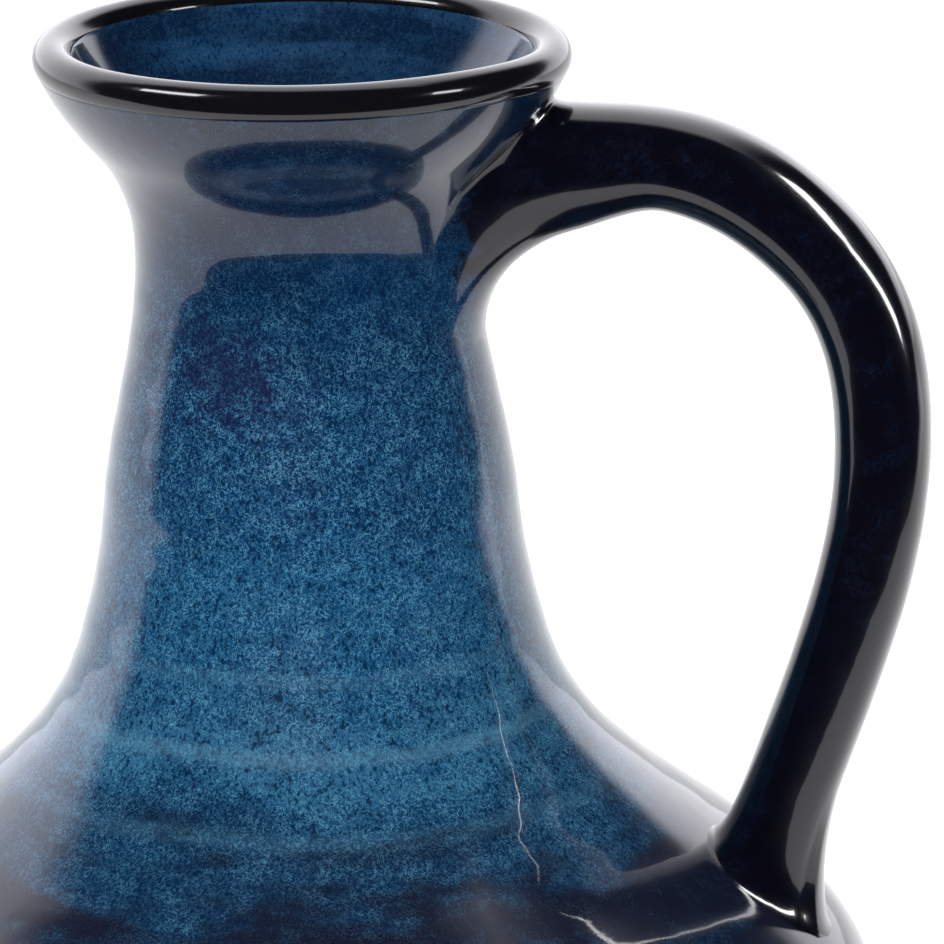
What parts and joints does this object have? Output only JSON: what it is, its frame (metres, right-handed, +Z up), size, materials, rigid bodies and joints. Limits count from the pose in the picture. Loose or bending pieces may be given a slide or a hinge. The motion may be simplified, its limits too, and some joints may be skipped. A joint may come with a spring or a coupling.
{
  "type": "one-handled jug",
  "caption": "Glazed stoneware jug with a narrow neck, a flared mouth with a rolled lip, a round belly and a single pulled handle.",
  "frame": {"origin": "on the vessel's axis, in the plane of the foot ring's underside", "axes": "+Z up along the vessel's axis; +X towards the handle"},
  "size_m": [0.2063, 0.198, 0.29],
  "materials": {
    "bare_stoneware": "unglazed, fired, slightly gritty",
    "joining_slip": "fired slip, smooth",
    "blue_glaze": "glossy mottled blue, speckled, darker towards the belly",
    "dark_glaze": "glossy near-black navy",
    "liner_glaze": "glossy mottled blue"
  },
  "bodies": {
    "root": {"foot_ring": "bare_stoneware", "belly": "bare_stoneware", "belly_joint_slip": "joining_slip", "shoulder": "bare_stoneware", "neck_joint_slip": "joining_slip", "neck": "bare_stoneware", "lip": "bare_stoneware", "handle": "bare_stoneware", "upper_root": "joining_slip", "lower_root": "joining_slip", "body_glaze": "blue_glaze", "lip_glaze": "dark_glaze", "liner_glaze": "liner_glaze", "handle_glaze": "dark_glaze"}
  },
  "joints": []
}
